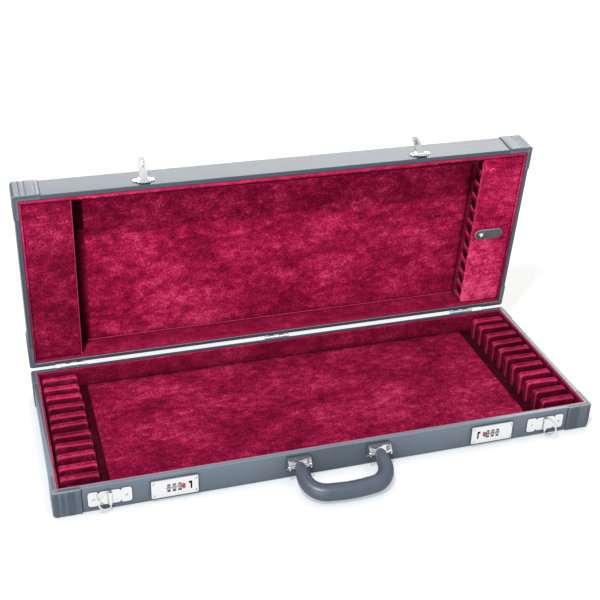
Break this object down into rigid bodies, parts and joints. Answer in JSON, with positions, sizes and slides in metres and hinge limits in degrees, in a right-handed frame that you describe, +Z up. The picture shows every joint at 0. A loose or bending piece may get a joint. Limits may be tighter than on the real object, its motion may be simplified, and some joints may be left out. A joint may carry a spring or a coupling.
{
  "type": "bow case",
  "caption": "Long hard case for instrument bows: velvet-lined tray and lid, end dividers, boxed lid ends, combination locks with hasps, handle and strap rings.",
  "frame": {"origin": "centre of the flat underside of the base, in the plane the case rests on", "axes": "+X along the case's length to the right seen from the front, -Y out of the front with the locks and handle, +Z up"},
  "size_m": [0.8024, 0.4268, 0.3789],
  "materials": {
    "leatherette": "grained slate-blue leatherette over a thin board shell",
    "velvet": "crushed wine-red velvet over padded board",
    "chrome": "polished chrome plate",
    "enamel": "glossy red",
    "strap": "padded slate-grey leather"
  },
  "bodies": {
    "case_base": {"base_shell": "leatherette", "base_lining": "velvet", "base_floor_pad": "velvet", "divider_left_01": "velvet", "divider_left_02": "velvet", "divider_left_03": "velvet", "divider_left_04": "velvet", "divider_left_05": "velvet", "divider_left_06": "velvet", "divider_left_07": "velvet", "divider_left_08": "velvet", "divider_left_09": "velvet", "divider_left_10": "velvet", "divider_left_11": "velvet", "divider_right_01": "velvet", "divider_right_02": "velvet", "divider_right_03": "velvet", "divider_right_04": "velvet", "divider_right_05": "velvet", "divider_right_06": "velvet", "divider_right_07": "velvet", "divider_right_08": "velvet", "divider_right_09": "velvet", "divider_right_10": "velvet", "divider_right_11": "velvet", "hinge_left_lower": "chrome", "hinge_middle_lower": "chrome", "hinge_right_lower": "chrome", "lock_left_case": "chrome", "lock_right_case": "chrome", "ring_plate_left": "chrome", "ring_plate_right": "chrome", "handle_bracket_left": "chrome", "handle_bracket_right": "chrome"},
    "lid": {"lid_shell": "leatherette", "lid_lining": "velvet", "lid_end_box": "velvet", "compartment_wall": "velvet", "hinge_left_upper": "chrome", "hinge_middle_upper": "chrome", "hinge_right_upper": "chrome", "hasp_left_leaf": "chrome", "hasp_right_leaf": "chrome"},
    "cover": {"compartment_cover": "velvet", "pull_tab": "strap", "tab_snap": "chrome"},
    "hasp_left": {"hasp_left_tongue": "chrome"},
    "hasp_right": {"hasp_right_tongue": "chrome"},
    "wheel_left_1": {"lock_left_wheel_1": "chrome"},
    "wheel_left_2": {"lock_left_wheel_2": "chrome"},
    "wheel_left_3": {"lock_left_wheel_3": "chrome"},
    "button_left": {"lock_left_button": "enamel"},
    "wheel_right_1": {"lock_right_wheel_1": "chrome"},
    "wheel_right_2": {"lock_right_wheel_2": "chrome"},
    "wheel_right_3": {"lock_right_wheel_3": "chrome"},
    "button_right": {"lock_right_button": "enamel"},
    "ring_left": {"strap_ring_left": "chrome"},
    "ring_right": {"strap_ring_right": "chrome"},
    "handle": {"handle_grip": "strap"}
  },
  "joints": [
    {"name": "lid_hinge", "type": "hinge", "parent": "case_base", "child": "lid", "pos_m": [0, 0.1555, 0.0423], "axis": [-1, 0, 0], "range_deg": [-83.5, 0]},
    {"name": "cover_hinge", "type": "hinge", "parent": "lid", "child": "cover", "pos_m": [0.3874, 0.14217, 0.19729], "axis": [0, -0.1132, 0.9936], "range_deg": [0, 90]},
    {"name": "hasp_left_hinge", "type": "hinge", "parent": "lid", "child": "hasp_left", "pos_m": [-0.2144, 0.12609, 0.35166], "axis": [1, 0, 0], "range_deg": [-19, 141]},
    {"name": "hasp_right_hinge", "type": "hinge", "parent": "lid", "child": "hasp_right", "pos_m": [0.2144, 0.12609, 0.35166], "axis": [1, 0, 0], "range_deg": [0, 160]},
    {"name": "wheel_left_1_spin", "type": "hinge", "parent": "case_base", "child": "wheel_left_1", "pos_m": [-0.24555, -0.1513, 0.0212], "axis": [1, 0, 0], "continuous": true},
    {"name": "wheel_left_2_spin", "type": "hinge", "parent": "case_base", "child": "wheel_left_2", "pos_m": [-0.2379, -0.1513, 0.0212], "axis": [1, 0, 0], "continuous": true},
    {"name": "wheel_left_3_spin", "type": "hinge", "parent": "case_base", "child": "wheel_left_3", "pos_m": [-0.23025, -0.1513, 0.0212], "axis": [1, 0, 0], "continuous": true},
    {"name": "button_left_press", "type": "slide", "parent": "case_base", "child": "button_left", "axis": [0, 1, 0], "range_m": [0, 0.0015], "stiffness_N_per_m": 400, "springref_m": -0.001},
    {"name": "wheel_right_1_spin", "type": "hinge", "parent": "case_base", "child": "wheel_right_1", "pos_m": [0.23025, -0.1513, 0.0212], "axis": [1, 0, 0], "continuous": true},
    {"name": "wheel_right_2_spin", "type": "hinge", "parent": "case_base", "child": "wheel_right_2", "pos_m": [0.2379, -0.1513, 0.0212], "axis": [1, 0, 0], "continuous": true},
    {"name": "wheel_right_3_spin", "type": "hinge", "parent": "case_base", "child": "wheel_right_3", "pos_m": [0.24555, -0.1513, 0.0212], "axis": [1, 0, 0], "continuous": true},
    {"name": "button_right_press", "type": "slide", "parent": "case_base", "child": "button_right", "axis": [0, 1, 0], "range_m": [0, 0.0015], "stiffness_N_per_m": 400, "springref_m": -0.001},
    {"name": "ring_left_swing", "type": "hinge", "parent": "case_base", "child": "ring_left", "pos_m": [-0.325, -0.15505, 0.0191], "axis": [0, 0, 1], "range_deg": [-25, 155]},
    {"name": "ring_right_swing", "type": "hinge", "parent": "case_base", "child": "ring_right", "pos_m": [0.325, -0.15505, 0.0191], "axis": [0, 0, -1], "range_deg": [-57, 123]},
    {"name": "handle_swing", "type": "hinge", "parent": "case_base", "child": "handle", "pos_m": [-0.002, -0.1635, 0.0276], "axis": [-1, 0, 0], "range_deg": [0, 50]}
  ]
}
